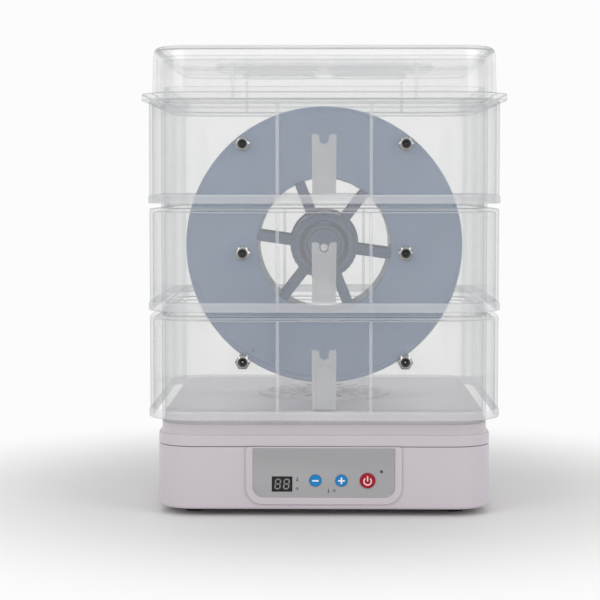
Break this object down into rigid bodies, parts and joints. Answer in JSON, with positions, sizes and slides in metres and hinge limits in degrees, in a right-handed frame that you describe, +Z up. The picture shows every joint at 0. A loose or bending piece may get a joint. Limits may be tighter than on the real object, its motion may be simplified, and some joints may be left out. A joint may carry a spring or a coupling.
{
  "type": "filament dryer box",
  "caption": "Heated dryer for spools of printer filament: a powered base with fan and panel under stackable clear trays and a lid, with a spool turning on an axle inside.",
  "frame": {"origin": "centre of the footprint, on the surface that the feet stand on", "axes": "+Z up, -Y towards the front with the control panel, +X to the right seen from the front"},
  "size_m": [0.256, 0.25, 0.327],
  "materials": {
    "clear_plastic": "clear glossy moulding",
    "milky_plastic": "translucent moulding",
    "housing_plastic": "pale glossy moulding",
    "overlay_silver": "satin silver-grey sheet",
    "display_black": "dark glossy window",
    "key_blue": "satin blue",
    "key_red": "satin dark red",
    "indicator_lens": "small lens",
    "circuit_board": "green solder mask",
    "black_plastic": "moulded",
    "grey_plastic": "moulded",
    "steel": "bright",
    "nickel": "plated",
    "fin_aluminium": "plain",
    "foot_rubber": "matte",
    "spool_plastic": "dark moulding"
  },
  "bodies": {
    "base": {"base_body": "housing_plastic", "base_top_cover": "housing_plastic", "rubber_feet": "foot_rubber", "cover_screws": "steel", "cord_gland": "black_plastic", "gland_nut": "black_plastic", "panel_frame": "housing_plastic", "panel_overlay": "overlay_silver", "control_board": "circuit_board", "board_screws": "steel", "display_module": "display_black", "indicator_light": "indicator_lens", "tact_switches": "black_plastic", "power_board": "circuit_board", "power_board_parts": "black_plastic", "intake_grille": "housing_plastic", "fan_shroud": "grey_plastic", "motor_bracket": "steel", "fan_motor": "steel", "outlet_grille": "housing_plastic", "heater_frame": "grey_plastic", "heater_elements": "black_plastic", "heater_fins": "fin_aluminium", "thermal_cutout": "steel", "temperature_sensor": "black_plastic"},
    "bottom_tray": {"bottom_tray": "clear_plastic", "bottom_tray_posts": "milky_plastic", "bottom_outlet_fittings": "nickel", "bottom_outlet_locknuts": "nickel"},
    "middle_tray": {"middle_tray": "clear_plastic", "middle_tray_posts": "milky_plastic", "middle_outlet_fittings": "nickel", "middle_outlet_locknuts": "nickel", "spool_axle": "steel"},
    "top_tray": {"top_tray": "clear_plastic", "top_tray_posts": "milky_plastic", "top_outlet_fittings": "nickel", "top_outlet_locknuts": "nickel"},
    "lid": {"lid": "clear_plastic"},
    "spool": {"spool_front_flange": "spool_plastic", "spool_rear_flange": "spool_plastic", "spool_drum": "spool_plastic", "spool_hub": "spool_plastic", "hub_sleeve": "spool_plastic", "hub_nut": "spool_plastic"},
    "fan_rotor": {"fan_rotor": "grey_plastic", "motor_shaft": "steel"},
    "minus_key": {"minus_key": "key_blue"},
    "plus_key": {"plus_key": "key_blue"},
    "power_key": {"power_key": "key_red"}
  },
  "joints": [
    {"name": "bottom_tray_lift", "type": "slide", "parent": "base", "child": "bottom_tray", "axis": [0, 0, 1], "range_m": [0, 0.04]},
    {"name": "middle_tray_lift", "type": "slide", "parent": "bottom_tray", "child": "middle_tray", "axis": [0, 0, 1], "range_m": [0, 0.08]},
    {"name": "top_tray_lift", "type": "slide", "parent": "middle_tray", "child": "top_tray", "axis": [0, 0, 1], "range_m": [0, 0.08]},
    {"name": "lid_lift", "type": "slide", "parent": "top_tray", "child": "lid", "axis": [0, 0, 1], "range_m": [0, 0.06]},
    {"name": "spool_spin", "type": "hinge", "parent": "middle_tray", "child": "spool", "pos_m": [0, 0, 0.1874], "axis": [0, 1, 0], "continuous": true},
    {"name": "fan_spin", "type": "hinge", "parent": "base", "child": "fan_rotor", "pos_m": [0, 0, 0.045], "axis": [0, 0, 1], "continuous": true},
    {"name": "minus_key_press", "type": "slide", "parent": "base", "child": "minus_key", "axis": [0, 1, 0], "range_m": [0, 0.0006], "stiffness_N_per_m": 1500},
    {"name": "plus_key_press", "type": "slide", "parent": "base", "child": "plus_key", "axis": [0, 1, 0], "range_m": [0, 0.0006], "stiffness_N_per_m": 1500},
    {"name": "power_key_press", "type": "slide", "parent": "base", "child": "power_key", "axis": [0, 1, 0], "range_m": [0, 0.0006], "stiffness_N_per_m": 1500}
  ]
}
